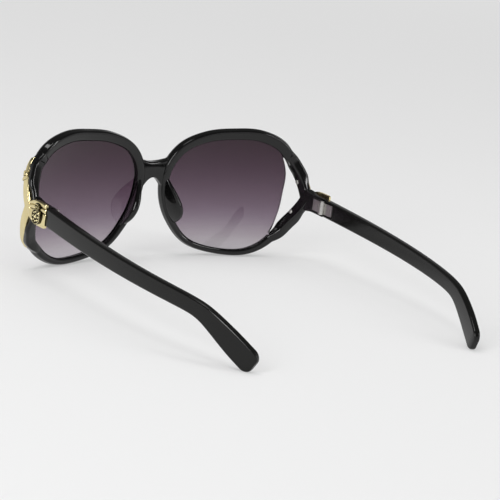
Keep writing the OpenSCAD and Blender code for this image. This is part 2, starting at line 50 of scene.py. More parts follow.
# Points round a lens opening from the fork over the top, as shares of half its width and height
outlineShares = np.array([[1, 0.05], [0.99, 0.45], [0.82, 0.81], [0.46, 0.98], [0.04, 0.985],
                          [-0.38, 0.93], [-0.76, 0.75], [-0.97, 0.4], [-0.97, -0.05], [-0.82, -0.46],
                          [-0.52, -0.82], [-0.04, -0.98], [0.46, -0.975], [0.82, -0.73], [0.96, -0.34]])
turns = len(outlineShares)
lensX = (lens["width"] + lens["gap"]) / 2
wrapCos, wrapSin = np.cos(np.radians(lens["wrap"])), np.sin(np.radians(lens["wrap"]))


# Numbers and arrays side by side as the last axis
def column(*parts):
    return np.stack(np.broadcast_arrays(*parts), -1).astype(float)


def unit(v):
    return v / np.linalg.norm(v, axis=-1, keepdims=True)


# Soft step from 0 to 1: 3 x^2 - 2 x^3
def ease(x):
    x = np.clip(x, 0, 1)
    return x * x * (3 - 2 * x)


# Cubic through four neighbours of a list at place k: closed lists wrap round, open ones end flat
def listAt(values, k, closed=True):
    n = len(values)
    i = np.floor(k).astype(int)
    if not closed:
        i = np.minimum(i, n - 2)
    t = np.asarray(k - i, float)
    t = t.reshape(t.shape + (1,) * (values.ndim - 1))
    a, b, c, d = [values[(i + j) % n if closed else np.clip(i + j, 0, n - 1)] for j in (-1, 0, 1, 2)]
    return 0.5 * (2 * b + (c - a) * t + (2 * a - 5 * b + 4 * c - d) * t * t
                  + (3 * b - a - 3 * c + d) * t * t * t)


def outlineAt(k):
    return listAt(outlineShares, k) * [lens["width"] / 2, lens["height"] / 2]


# How far the lens sphere lies back at (u, v): base radius - sqrt(radius^2 - u^2 - v^2)
def sag(u, v, radius=lens["baseRadius"]):
    return lens["baseRadius"] - np.sqrt(radius * radius - u * u - v * v)


# Place on the lens sphere: (u, v) across and up, turned back by the wrap angle
def onLens(u, v, radius=lens["baseRadius"]):
    s = sag(u, v, radius)
    return column(lensX + u * wrapCos - s * wrapSin, u * wrapSin + s * wrapCos, v)


# Way from the lens to the middle of its sphere, at the head's side
def lensNormal(u, v):
    w = np.sqrt(lens["baseRadius"] ** 2 - u * u - v * v)
    return column(-u * wrapCos - w * wrapSin, w * wrapCos - u * wrapSin, -v) / lens["baseRadius"]


# Arms of the fork: where they leave the rim, above and below, and how they run back from it
arm = dict(sweep=12, flare=2.8, width=6, thickness=3.5, inset=0.5, fadeShare=0.3)
cornerTop = 1.75
cornerBottom = 13


# Share of an arm: 0 on the rim and 1 at the fork
def armShare(k):
    return np.where(k < cornerTop, 1 - k / cornerTop,
                    np.where(k > cornerBottom, (k - cornerBottom) / (turns - cornerBottom), 0))


# The line that the front's section follows, round the lens and out along the arms
def loopPoint(k):
    p = outlineAt(k)
    s = np.clip(armShare(k), 0, 1)
    return onLens(p[..., 0], p[..., 1]) + column(arm["flare"] * ease(s), arm["sweep"] * s ** 1.2, 0 * s)


# A place on that line, with the ways out of the opening and in to the head. Along an arm the way
# in turns from the lens sphere's to straight back
def loopFrame(k):
    k = np.asarray(k, float)
    p = outlineAt(k)
    d = 0.05
    along = unit(loopPoint(np.maximum(k - d, 0)) - loopPoint(np.minimum(k + d, turns)))
    atFork = ((k < d) | (k > turns - d))[..., None]
    along = np.where(atFork, [0.0, 0.0, -1.0], along)
    b = ease(armShare(k) / arm["fadeShare"])[..., None]
    back = unit((1 - b) * lensNormal(p[..., 0], p[..., 1]) + b * np.array([0.0, 1.0, 0.0]))
    inward = unit(back - (back * along).sum(-1, keepdims=True) * along)
    out = np.cross(inward, along)
    side = np.sign((out * column(p[..., 0], 0, p[..., 1])).sum(-1, keepdims=True))
    return loopPoint(k), out * side, inward


endPiece = dict(length=14, height=8.4, jointGap=0.1, stations=40)
hinge = dict(drop=0.4, height=5.6, knuckle=1.5, leaf=0.9, leafLength=6.8, leafShare=0.92, axisSet=0.2,
             gap=0.05, room=0.15, openTop=0.7, overrun=1)

forkMitre = 1 / abs(unit(loopPoint(np.array(cornerTop / 4)) - loopPoint(np.array(0.0)))[2])
fork = loopPoint(np.array(0.0))
endIn = fork[0] + arm["inset"]
endOut = endIn + arm["thickness"]
hingeAt = np.array([endIn - hinge["axisSet"], fork[1] + endPiece["length"], fork[2] - hinge["drop"]])

# The record's left hinge turns millimetres of that upright frame into metres of the standing model
leftFold = next(j for j in frame["joints"] if j["name"] == "left_fold")
upWay = np.array(leftFold["axis"], float) / np.linalg.norm(leftFold["axis"])
backWay = np.cross(upWay, [1.0, 0.0, 0.0])
hingePlace = np.array(leftFold["pos_m"], float)


def place(points):
    p = np.asarray(points, float) - hingeAt
    return hingePlace + mm * (p[..., :1] * [1.0, 0.0, 0.0] + p[..., 1:2] * backWay + p[..., 2:] * upWay)


# Quads between neighbouring rings of one closed skin. Its ends are fans about their middles, and
# each point has a relief share, 0 in a hollow and 1 on a raised part
def skin(rings, joined=False, turned=False, relief=1.0):
    n, m = rings.shape[:2]
    i, j = np.meshgrid(np.arange(n if joined else n - 1), np.arange(m), indexing="ij")
    a, b = i * m + j, i * m + (j + 1) % m
    c, d = (i + 1) % n * m + (j + 1) % m, (i + 1) % n * m + j
    quads = np.stack([a, d, c, b], -1).reshape(-1, 4)
    points = rings.reshape(-1, 3)
    faces = quads.tolist()
    relief = np.broadcast_to(relief, (n, m))
    if joined:
        relief = relief.ravel()
    else:
        ends = np.array([rings[0].mean(0), rings[-1].mean(0)])
        points = np.vstack([points, ends])
        relief = np.concatenate([relief.ravel(), [relief[0].mean(), relief[-1].mean()]])
        around = np.arange(m)
        first = np.stack([around, (around + 1) % m, np.full(m, n * m)], -1)
        last = np.stack([(around + 1) % m + (n - 1) * m, around + (n - 1) * m, np.full(m, n * m + 1)], -1)
        faces += first.tolist() + last.tolist()
    return points, [f[::-1] for f in faces] if turned else faces, relief


# Mirror image over the middle, with its faces turned so that they point outwards
def mirroredShell(shell):
    points, faces, relief = shell
    return points * [-1, 1, 1], [f[::-1] for f in faces], relief


# Several closed skins as one
def gathered(shells):
    points, faces, reliefs, start = [], [], [], 0
    for p, f, r in shells:
        points.append(p)
        reliefs.append(r)
        faces += [[i + start for i in face] for face in f]
        start += len(p)
    return np.vstack(points), faces, np.concatenate(reliefs)


def meshPiece(name, shells, sharp=32):
    points, faces, relief = gathered(shells)
    mesh = bpy.data.meshes.new(name)
    mesh.from_pydata(place(points).tolist(), [], faces)
    mesh.attributes.new("relief", "FLOAT", "POINT").data.foreach_set("value", relief.astype(np.float32))
    mesh.validate()
    mesh.update()
    mesh.shade_smooth()
    mesh.set_sharp_from_angle(angle=np.radians(sharp))
    piece = bpy.data.objects.new(name, mesh)
    bpy.context.scene.collection.objects.link(piece)
    return piece


# Cuts the cutters' solids out of a piece and deletes them
def cutOut(piece, cutters):
    for cutter in cutters:
        cut = piece.modifiers.new("cut", "BOOLEAN")
        cut.operation = "DIFFERENCE"
        cut.solver = "EXACT"
        cut.object = cutter
    evaluated = piece.evaluated_get(bpy.context.evaluated_depsgraph_get())
    mesh = bpy.data.meshes.new_from_object(evaluated)
    piece.modifiers.clear()
    piece.data = mesh
    for cutter in cutters:
        bpy.data.objects.remove(cutter)


def joinPieces(name, pieces):
    for piece in pieces:
        piece.select_set(True)
    bpy.context.view_layer.objects.active = pieces[0]
    with bpy.context.temp_override(active_object=pieces[0], selected_editable_objects=pieces,
                                   selected_objects=pieces):
        bpy.ops.object.join()
    pieces[0].name = name
    pieces[0].data.name = name
    bpy.ops.object.select_all(action="DESELECT")
    return pieces[0]


def finishPiece(piece, material, body, slot, *nodes):
    piece.data.materials.clear()
    piece.data.materials.append(material)
    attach(piece, body)
    if nodes:
        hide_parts(*nodes)
    return piece


# One piece for the left side and its mirror image for the right, both on the front
def makePair(shells, material, slot, leftName, rightName, leftNode, rightNode):
    mirrored = [mirroredShell(s) for s in shells]
    finishPiece(meshPiece(leftName, shells), material, "front", slot, leftNode)
    finishPiece(meshPiece(rightName, mirrored), material, "front", slot, rightNode)


# Rounds each corner of a closed section by the curve (1-t)^2 a + 2t(1-t) P + t^2 b
# and takes at most 0.46 of an edge
def softProfile(points, radii, count):
    before, after = np.roll(points, 1, axis=-2), np.roll(points, -1, axis=-2)
    reachA = np.linalg.norm(before - points, axis=-1, keepdims=True)
    reachB = np.linalg.norm(after - points, axis=-1, keepdims=True)
    radii = np.broadcast_to(np.asarray(radii, float)[..., None], reachA.shape)
    a = points + (before - points) / np.maximum(reachA, 1e-6) * np.minimum(radii, 0.46 * reachA)
    b = points + (after - points) / np.maximum(reachB, 1e-6) * np.minimum(radii, 0.46 * reachB)
    t = np.linspace(0, 1, count)[:, None]
    curve = (a[..., None, :] * (1 - t) ** 2 + 2 * points[..., None, :] * t * (1 - t)
             + b[..., None, :] * t ** 2)
    return curve.reshape(points.shape[:-2] + (points.shape[-2] * count, 2))


# Rounded rectangle of half sizes a and b, walked corner by corner
def roundRect(a, b, r, steps=7):
    t = np.radians(np.concatenate([np.linspace(q, q + 90, steps) for q in (0, 90, 180, 270)]))
    sx = np.repeat([1, -1, -1, 1], steps)
    sy = np.repeat([1, 1, -1, -1], steps)
    a, b, r = (np.asarray(v, float)[..., None] for v in (a, b, r))
    return column(sx * (a - r) + r * np.cos(t), sy * (b - r) + r * np.sin(t))


# Front: rim section, forked arm section and the stepped bed of the trim
rim = dict(width=4.9, front=2.4, back=2.9, groove=0.1, lip=0.4, ridge=1.6, step=0.5, edge=0.7,
           stepsPerTurn=14, cornerSteps=6)
trim = dict(thickness=1.3, width=4.2, lip=2.3, lipThickness=0.9, gap=0.12, startShare=0.12,
            endShare=0.5, widenRate=1.4, bevel=0.8, round=0.3, collarRise=0.45, tipStep=0.012)
rimWidthShares = np.array([1.04, 1.06, 1.06, 1.02, 0.98, 0.95, 0.9, 0.85, 0.76, 0.64, 0.58, 0.57, 0.62,
                           0.76, 0.94])
grooveHeight = lens["thickness"] / 2 + rim["groove"]
edgeSlope = np.tan(np.arcsin(lens["width"] / 2 / lens["baseRadius"]))
grooveDepth = lens["seat"] + lens["thickness"] / 2 * edgeSlope + 2 * rim["groove"]
trimBed = trim["thickness"] + trim["gap"]
browShares = [[1, 0.1], [0.86, 0.66], [0.6, 1]]  # the rim's rounded front, of its width and depth
# Radii of the sixteen corners of the rim's section, of the arm's and of the arm's with the bed
plainRadii = [0.12, 0.7, 0.7, 0.7, 0.7, 1, 1, 1.6, 1.6, 1.2, 0.35, 0.25, 0.12, 0.05, 0.05, 0.05]
armRadii = [1, 0.8, 0.8, 0.8, 0.8, 1, 1, 1, 0.8, 0.8, 0.8, 0.8, 1, 1, 1, 1]
bedRadii = [1, 0.8, 0.8, 0.6, 0.5, 0.08, 0.03, 0.03, 0.03, 0.1, 0.8, 0.8, 1, 1, 1, 1]
ledgeShares = [0.55, 0.8]  # of the arm, between which the ledge behind the bed falls away


# Corners of a section as (outwards, inwards to the head), round from the lens groove
def rimSection(w):
    w = np.asarray(w, float)
    edge, deep, front = rim["edge"], rim["back"], -rim["front"]
    rows = [(0, grooveHeight), (0, deep - edge), (edge, deep), (w - edge, deep), (w, deep - edge),
            (w, deep * 0.45), (w, deep * 0.2)]
    rows += [(w * s[0], front * s[1]) for s in browShares]
    rows += [(rim["ridge"], front * 0.9), (rim["ridge"] - rim["step"], -grooveHeight - rim["lip"]),
             (0, -grooveHeight - rim["lip"]), (0, -grooveHeight), (grooveDepth, -grooveHeight),
             (grooveDepth, grooveHeight)]
    return np.stack([column(x + 0 * w, y + 0 * w) for x, y in rows], -2)


def armSection(h):
    h = np.asarray(h, float)
    a, b, r = arm["inset"], arm["inset"] + arm["thickness"] + trimBed, rim["edge"]
    rows = [(a, h * 0.4), (a, h - r), (a + r, h), (b - r, h), (b, h - r), (b, h * 0.35), (b, h * 0.2),
            (b, -h * 0.3), (b, r - h), (b - r, -h), (a + r, -h), (a, r - h), (a, -h * 0.6),
            (a, -h * 0.45), (a, -h * 0.3), (a, 0 * h)]
    return np.stack([column(x + 0 * h, y + 0 * h) for x, y in rows], -2)


# At the fork the arms meet at a slant, so their section is wider there
def mitre(k):
    return np.where(armShare(k) > 0.99, forkMitre, 1)


# Rim section that turns into the arm section over the first part of an arm
def plainSection(k):
    b = ease(armShare(k) / arm["fadeShare"])[..., None, None]
    return (rimSection(rim["width"] * listAt(rimWidthShares, k)) * (1 - b)
            + armSection(arm["width"] / 2 * mitre(k)) * b)


# The trim widens softly from its tip to the fork
def trimWidth(k):
    grown = ease(armShare(k) * trim["widenRate"])
    return trim["width"] * mitre(k) * (trim["endShare"] + (1 - trim["endShare"]) * grown)


# Arm section with the trim's bed cut into its outer front corner, and a ledge behind the bed that
# falls to the bed's depth near the fork
def bedSection(k):
    u = plainSection(k)
    out, front = u[..., 7, 0], u[..., 9, 1]
    fade = ease((armShare(k) - ledgeShares[0]) / (ledgeShares[1] - ledgeShares[0]))
    ledge = out - trimBed * fade
    rear = front + trimWidth(k) + trim["gap"]
    shelf = front + trim["lipThickness"] + trim["gap"]
    lip = out - trim["lip"] - trim["gap"]
    u = u.copy()
    for i, (x, y) in enumerate([(ledge - rim["edge"], u[..., 3, 1]), (ledge, u[..., 4, 1]), (ledge, rear),
                                (out - trimBed, rear), (out - trimBed, shelf), (lip, shelf), (lip, front)]):
        u[..., i + 3, :] = column(x, y)
    return u


# The section at each place k, carried on the line's own frame
def frontRings(k):
    k = np.asarray(k, float)
    share = armShare(k)
    b = ease(share / arm["fadeShare"])[..., None]
    inBed = (share > trim["startShare"])[..., None]
    radii = np.where(inBed, bedRadii, np.array(plainRadii) * (1 - b) + np.array(armRadii) * b)
    section = np.where(inBed[..., None], bedSection(k), plainSection(k))
    section = softProfile(section, radii, rim["cornerSteps"])
    at, out, inward = loopFrame(k)
    return at[:, None] + out[:, None] * section[..., :1] + inward[:, None] * section[..., 1:]


# Rings run straight from the last whole arm section to the mitre at the fork
mitreShare = 0.84


def straightToFork(rings, ends, shares):
    t = np.clip((shares - mitreShare) / (1 - mitreShare), 0, 1)[:, None, None]
    return np.where(t > 0, ends[0] * (1 - t) + ends[1] * t, rings)


# Places on the outline at shares of an arm, no further than the last whole section
def placesOnArm(shares, corner, far):
    return corner + (far - corner) * np.minimum(shares, mitreShare)


# One closed loop: from the fork along the upper arm, round the opening and back along the lower arm
def frontLoop():
    start, near, step = trim["startShare"], trim["tipStep"], 0.002
    shares = np.concatenate([np.linspace(1, mitreShare, 6),
                             np.linspace(mitreShare - 0.02, start + near, 46),
                             [start + step, start - step], np.linspace(start - near, 0.01, 8)])
    upperK = placesOnArm(shares, cornerTop, 0)
    lowerK = placesOnArm(shares[::-1], cornerBottom, turns)
    rimK = np.linspace(cornerTop, cornerBottom, int((cornerBottom - cornerTop) * rim["stepsPerTurn"]))
    forkRing = frontRings(np.array([0.0]))[0]
    upper = straightToFork(frontRings(upperK), [frontRings(upperK[5:6])[0], forkRing], shares)
    lower = straightToFork(frontRings(lowerK), [frontRings(lowerK[-6:-5])[0], forkRing], shares[::-1])
    rings = np.concatenate([upper, frontRings(rimK), lower[:-1]])
    return skin(rings, joined=True)


bridge = dict(height=7.2, depth=4.6, set=0.4, topShare=0.275, riseShare=0.2, archShare=1.05,
              thinShare=0.3, back=0.7, roundShare=1.3, stations=56)
# Where the bridge ends inside the rims: share of the half span, and of the lens height above and below
bridgeRoots = np.array([[1.006, 0.303, 0.18], [1.28, 0.333, 0.268]])


# Bridge: top = base + rise s^2, foot = base - height - arch s^2, thinner and further back at its ends
def bridgeShell():
    edgeAt = onLens(np.array(-lens["width"] / 2), np.array(0.0))
    halfSpan = edgeAt[0] - grooveDepth - rim["groove"]
    base = bridge["topShare"] * lens["height"]
    s = np.linspace(-1, 1, bridge["stations"])
    rise, arch = bridge["riseShare"] * bridge["height"], bridge["archShare"] * bridge["height"]
    rootX, rootTop, rootFoot = (bridgeRoots * [halfSpan, lens["height"], lens["height"]]).T
    x = np.concatenate([rootX[::-1], -s * halfSpan, -rootX])
    top = np.concatenate([rootTop[::-1], base + rise * s * s, rootTop])
    foot = np.concatenate([rootFoot[::-1], base - bridge["height"] - arch * s * s, rootFoot])
    e = np.minimum(1, (x / halfSpan) ** 2)
    half = bridge["depth"] / 2 * (1 - bridge["thinShare"] * e)
    ring = roundRect(half, (top - foot) / 2, rim["edge"] * bridge["roundShare"])
    y = edgeAt[1] + bridge["set"] + bridge["back"] * e
    rings = column(x[:, None] + 0 * ring[..., 0], y[:, None] + ring[..., 0],
                   (top + foot)[:, None] / 2 + ring[..., 1])
    return skin(rings)


nosePad = dict(reach=8.5, height=21.5, thickness=3.2, topShare=0.145, splay=24, footShare=0.45,
               skew=1.35, rootShare=0.42, roundShare=0.9, stations=72)
noseSide = (10.75, 6.5)  # places on the outline, up the side by the nose


# Nose pad: a fin along (sin splay, cos splay) whose reach swells as sin(pi s^skew)^0.7 down its height
def nosePadShell():
    side = outlineAt(np.linspace(*noseSide, 60))
    s = (1 - np.cos(np.linspace(0, np.pi, nosePad["stations"]))) / 2
    z = nosePad["topShare"] * lens["height"] - nosePad["height"] * s
    swell = np.clip(np.sin(np.pi * s ** nosePad["skew"]), 0, 1) ** 0.7
    start = grooveHeight + rim["lip"]
    reach = (rim["back"] - start) * nosePad["footShare"] + nosePad["reach"] * swell
    splay = np.radians(nosePad["splay"])
    fin = np.array([np.sin(splay), np.cos(splay), 0])
    across = np.cross([0, 0, 1], fin)
    rootX = np.interp(z, side[:, 1], side[:, 0]) - rim["width"] * nosePad["rootShare"]
    root = onLens(rootX, z) + fin * start
    half = nosePad["thickness"] / 2 * (nosePad["footShare"] + (1 - nosePad["footShare"]) * swell)
    ring = roundRect(reach / 2, half, half * nosePad["roundShare"])
    return skin(root[:, None] + fin * (reach[:, None, None] / 2 + ring[..., :1]) + across * ring[..., 1:])


# End piece: rounded bar whose half height and thickness follow the shares along it
endShares = np.array([[-0.14, 0.36, 0.55], [-0.02, 0.55, 0.7], [0.08, 0.6, 0.85], [0.2, 0.57, 1],
                      [0.36, 0.52, 1], [0.55, 0.5, 1], [1, 0.5, 1]])


def endPieceShell():
    rows = listAt(endShares, np.linspace(0, len(endShares) - 1, endPiece["stations"]), closed=False)
    along, high, thick = rows[:, 0], rows[:, 1] * endPiece["height"], rows[:, 2] * arm["thickness"]
    ring = roundRect(thick / 2, high, np.full(len(rows), rim["edge"]))
    x = endIn + thick[:, None] / 2 + ring[..., 0]
    y = fork[1] + along * (endPiece["length"] - endPiece["jointGap"] / 2)
    z = fork[2] + (hingeAt[2] - fork[2]) * np.maximum(0, along)
    return skin(column(x, y[:, None] + 0 * x, z[:, None] + ring[..., 1]))


# Box between two corners, as one square ring moved from low to high
def boxShell(low, high):
    x, y, z = zip(low, high)
    ring = np.array([[x[i], y[j], 0] for i, j in ((0, 0), (1, 0), (1, 1), (0, 1))], float)
    return skin(np.stack([ring + [0, 0, z[0]], ring + [0, 0, z[1]]]), turned=True)


# Round bar on the hinge's axis: radius * (cos t, sin t) from low to high
def barrelShell(radius, low, high, steps=48):
    t = np.linspace(0, 2 * np.pi, steps, endpoint=False)
    ring = hingeAt + column(radius * np.cos(t), radius * np.sin(t), 0 * t)
    return skin(np.stack([ring + [0, 0, low], ring + [0, 0, high]]), turned=True)


# Room for the knuckles and for one hinge leaf; side is -1 in front of the joint and 1 behind it
def hingeCutters(side, mirrored):
    face = hinge["axisSet"] + (temple["set"] if side > 0 else 0)
    gap, over, room = hinge["gap"], hinge["overrun"], hinge["room"]
    leafHigh = hinge["leafShare"] * hinge["height"] / 2 + gap
    low = hingeAt + [face - over, -over if side > 0 else -hinge["leafLength"] - gap, -leafHigh]
    high = hingeAt + [face + hinge["leaf"] + gap, hinge["leafLength"] + gap if side > 0 else over, leafHigh]
    shells = [boxShell(low, high), barrelShell(hinge["knuckle"] + room, -hinge["height"] / 2 - room,
                                               hinge["height"] / 2 + hinge["openTop"])]
    if mirrored:
        shells = [mirroredShell(s) for s in shells]
    return [meshPiece("cutter", [s]) for s in shells]


def makeFront(material):
    loop, pad, end = frontLoop(), nosePadShell(), endPieceShell()
    body = meshPiece("frontFrame", [loop, mirroredShell(loop), pad, mirroredShell(pad), bridgeShell()])
    ends = []
    for mirrored in (False, True):
        piece = meshPiece("endPiece", [mirroredShell(end) if mirrored else end])
        cutOut(piece, hingeCutters(-1, mirrored))
        ends.append(piece)
    whole = joinPieces("frontFrame", [body] + ends)
    return finishPiece(whole, material, "front", "frame", "front_frame")


# Lens: two spherical faces r +- t/2 over the outline, closed round the edge
def lensShell():
    k = np.linspace(0, turns, lens["turnSteps"], endpoint=False)
    d = 0.02
    a, b = outlineAt(k - d), outlineAt(k + d)
    t = unit(b - a)
    out = column(t[:, 1], -t[:, 0])
    out *= np.sign((out * outlineAt(k)).sum(-1, keepdims=True))
    reach = lens["seat"] - (lens["seat"] + lens["bareInset"]) * ease(armShare(k) / lens["bareShare"])
    edge = outlineAt(k) + reach[:, None] * out
    shares = np.linspace(1, 0, lens["radialSteps"] + 1)[:-1]
    half, bevel = lens["thickness"] / 2, lens["bevel"]
    grid = shares[:, None, None] * edge
    grid[0] *= 1 - bevel / (lens["width"] / 2)
    front = onLens(grid[..., 0], grid[..., 1], lens["baseRadius"] + half)
    back = onLens(grid[..., 0], grid[..., 1], lens["baseRadius"] - half)
    edgeLines = [onLens(edge[:, 0], edge[:, 1], lens["baseRadius"] + q)
                 for q in (half - bevel, bevel - half)]
    return skin(np.concatenate([front[::-1], np.stack(edgeLines), back]))


def makeLenses(material):
    makePair([lensShell()], material, "lens", "lensLeft", "lensRight", "lens_left", "lens_right")


# Trim: an angle strip let into both arms, with a banded collar, a boss and a cap of three lobes.
# The collar's rows are a share of the arm and of the collar's rise there
collarShares = [[0.52, 0], [0.51, 1], [0.475, 1], [0.465, 0.35], [0.405, 0.35], [0.395, 1], [0.36, 1],
                [0.35, 0]]
# Radii of the strip's nine corners, from its foot over its outer face to the shelf
stripRadii = [0.05, 0.3, 0.3, 0.35, 0.2, 0.35, 0.12, 0.05, 0.05]


# Angle section of the strip, its outer faces lifted by rise, carried on the line's frame
def trimRings(k, rise):
    u = plainSection(k)
    top, front = u[..., 7, 0] + rise, u[..., 9, 1]
    rear, face = front + trimWidth(k), front - rise
    lip, bottom = u[..., 7, 0] - trim["lip"], u[..., 7, 0] - trim["thickness"]
    shelf, r, c = front + trim["lipThickness"], trim["round"], trim["bevel"]
    rows = [(bottom, rear), (top - r, rear), (top, rear - r), (top, face + c),
            (top - c * 0.3, face + c * 0.3), (top - c, face), (lip, face), (lip, shelf), (bottom, shelf)]
    section = np.stack([column(x, y) for x, y in rows], -2)
    section = softProfile(section, stripRadii, 5)
    at, out, inward = loopFrame(k)
    return at[:, None] + out[:, None] * section[..., :1] + inward[:, None] * section[..., 1:]


# Strip from the lower tip over the fork to the upper tip, with more rings where the collar steps
def stripShell():
    tip, step = trim["startShare"] + trim["tipStep"], 0.0015
    collar = np.array(collarShares)
    lowerShares = np.concatenate([np.linspace(tip, mitreShare, 40), np.linspace(mitreShare, 1, 8)[1:]])
    upperShares = np.concatenate([np.linspace(tip, mitreShare, 60), np.linspace(mitreShare, 1, 8),
                                  collar[:, 0], collar[:, 0] + step, collar[:, 0] - step])
    upperShares = np.unique(upperShares)[::-1][1:]
    lift = np.interp(upperShares, collar[::-1, 0], collar[::-1, 1])
    rise = lift * trim["collarRise"]
    forkRing = trimRings(np.array([0.0]), np.zeros(1))[0]
    whole = np.array([mitreShare])
    lower = trimRings(placesOnArm(lowerShares, cornerBottom, turns), 0 * lowerShares)
    lowerEnd = trimRings(placesOnArm(whole, cornerBottom, turns), 0 * whole)[0]
    upper = trimRings(placesOnArm(upperShares, cornerTop, 0), rise)
    upperEnd = trimRings(placesOnArm(whole, cornerTop, 0), 0 * whole)[0]
    rings = np.concatenate([straightToFork(lower, [lowerEnd, forkRing], lowerShares),
                            straightToFork(upper, [upperEnd, forkRing], upperShares)])
    # Painted shade lies where the collar is low between its bands
    between = (upperShares > collar[-1, 0]) & (upperShares < collar[0, 0])
    raised = np.clip((lift - collar[3, 1]) / 0.5, 0, 1)
    relief = np.concatenate([1 + 0 * lowerShares, np.where(between, raised, 1)])
    return skin(rings, relief=relief[:, None])


cap = dict(height=10.4, gap=0.1, rise=0.3, valley=0.72, bulge=0.5, stations=60)
# Rows along the cap: share of the end piece's length, half height and thickness there
capShares = np.array([[-0.1, 0.26, 0.5], [0.05, 0.33, 0.9], [0.18, 0.4, 0.95], [0.32, 0.47, 1],
                      [0.48, 0.5, 1], [0.8, 0.5, 1], [0.93, 0.49, 0.9], [0.98, 0.46, 0.6]])
lobeEdges = [0, 0.59, 0.8, 1]  # the three lobes, from the foot up
capFace = endOut + cap["gap"]
capZ = hingeAt[2] + cap["rise"]


# Cap: each lobe bulges as valley + bulge (1 - (2s-1)^2)^0.6 of the thickness at its place
def capShell():
    rows = listAt(capShares, np.linspace(0, len(capShares) - 1, cap["stations"]), closed=False)
    y = fork[1] + rows[:, 0] * endPiece["length"]
    h, t = rows[:, 1] * cap["height"], rows[:, 2] * trim["thickness"]
    z = fork[2] + (capZ - fork[2]) * np.clip(rows[:, 0] / capShares[3, 0], 0, 1)
    s = (1 - np.cos(np.linspace(0, np.pi, 15))) / 2
    up = np.concatenate([a + (b - a) * s for a, b in zip(lobeEdges, lobeEdges[1:])])
    bulge = np.tile(cap["valley"] + cap["bulge"] * (1 - (2 * s - 1) ** 2) ** 0.6, len(lobeEdges) - 1)
    outer = column(capFace + t[:, None] * bulge, y[:, None] + 0 * bulge,
                   z[:, None] + h[:, None] * (2 * up - 1))
    inner = [column(capFace + 0 * y, y, z + h * q) for q in (1, -1)]
    rings = np.concatenate([np.stack(inner, 1), outer], 1)
    # Painted shade in the valleys between the lobes: the relief share falls to 0 where a lobe is lowest
    raised = (bulge - bulge.min()) / np.ptp(bulge)
    raised[:3] = raised[-3:] = 1  # no painted shade along the cap's edges
    return skin(rings, relief=np.concatenate([[1, 1], raised]))


# Revolved profile of (radius, height) rows on a seat with its own axis
def turnedShell(profile, relief, at, axis, across, steps=64):
    t = np.linspace(0, 2 * np.pi, steps, endpoint=False)
    other = np.cross(axis, across)
    spoke = np.cos(t)[:, None] * across + np.sin(t)[:, None] * other
    rings = at + profile[:, None, :1] * spoke + profile[:, None, 1:] * axis
    return skin(rings, turned=True, relief=relief[:, None])


# Boss on the collar: a dome in a groove, as shares of the radius and of the height
boss = dict(radius=1.45, height=0.75, share=0.435)
bossShares = np.array([[0.001, -0.6], [1, -0.6], [1, 0.5], [0.97, 0.66], [0.9, 0.75], [0.76, 0.75],
                       [0.68, 0.62], [0.64, 0.45], [0.58, 0.45], [0.52, 0.62], [0.42, 0.85], [0.3, 0.96],
                       [0.15, 1.02], [0.001, 1.04]])


def bossShell():
    k = np.array(cornerTop * (1 - boss["share"]))
    at, out, inward = loopFrame(k)
    u = plainSection(k)
    middle = at + out * u[7, 0] + inward * (u[9, 1] + trimWidth(k) / 2)
    # The rows down in the groove hold painted shade
    groove = (bossShares[:, 1] > 0.4) & (bossShares[:, 1] < 0.63) & (bossShares[:, 0] < 0.99)
    profile = bossShares * [boss["radius"], boss["height"]]
    return turnedShell(profile, np.where(groove, 0, 1), middle, out, inward)


def makeTrims(material):
    makePair([stripShell(), capShell(), bossShell()], material, "gold_trim",
             "trimLeft", "trimRight", "side_trim_left", "side_trim_right")


rosette = dict(radius=3.4, behindFork=8.2, height=1.5, petals=8, smallShare=0.5, smallHeight=0.8,
               riseShare=0.4, dropShare=0.35, seat=0.05, dish=0.28, brim=0.45, shadeTo=0.3,
               goldFrom=0.75, turnSteps=128, radialSteps=48)
# Each ring of relief: height, middle and half width, as shares of the height and the radius
rosetteRings = dict(edge=(0.62, 0.9, 0.1), petals=(0.75, 0.57, 0.2), bead=(1.0, 0, 0.3))


def reliefRing(name, r):
    high, middle, half = rosetteRings[name]
    return high * np.sqrt(np.clip(1 - ((r - middle) / half) ** 2, 0, 1))


# Rosette: height over (r, turn) is the highest of an edge ring, petals as |cos(n turn/2)|^0.7, a
# centre bead and a dish, each ring as height * sqrt(1 - ((r - middle) / half width)^2)
def rosetteHeights(r, turn):
    petal = np.abs(np.cos(rosette["petals"] * turn / 2)) ** 0.7
    return np.maximum.reduce([rosette["dish"] + 0 * r * turn, reliefRing("edge", r) + 0 * turn,
                              reliefRing("petals", r) * petal, reliefRing("bead", r) + 0 * turn])


# That height over a disc, outwards from the side of the glasses
def rosetteShell(at, radius, height):
    turn = np.linspace(0, 2 * np.pi, rosette["turnSteps"], endpoint=False)
    r = np.concatenate([[1], np.linspace(1, 0.01, rosette["radialSteps"])])[:, None]
    z = rosetteHeights(r, turn)
    z[0], z[1] = 0, rosette["brim"]
    # Painted shade and antique patina: fully dark up to shadeTo of the height, full gold from goldFrom
    relief = np.clip((z - rosette["shadeTo"]) / (rosette["goldFrom"] - rosette["shadeTo"]), 0, 1)
    relief[0] = relief[1]
    rings = column(at[0] + height * z, at[1] + radius * r * np.cos(turn), at[2] + radius * r * np.sin(turn))
    return skin(rings, turned=True, relief=relief)


def makeRosettes(material):
    radius, height, small = rosette["radius"], rosette["height"], rosette["smallShare"]
    capTop = capFace + trim["thickness"] * (cap["valley"] + cap["bulge"])
    at = np.array([capTop + rosette["seat"], fork[1] + rosette["behindFork"],
                   capZ - rosette["dropShare"] * radius])
    above = at + [0, 0, radius * (1 + small * rosette["riseShare"])]
    shells = [rosetteShell(at, radius, height),
              rosetteShell(above, radius * small, height * rosette["smallHeight"])]
    makePair(shells, material, "antique_gold",
             "rosetteLeft", "rosetteRight", "rosette_left", "rosette_right")


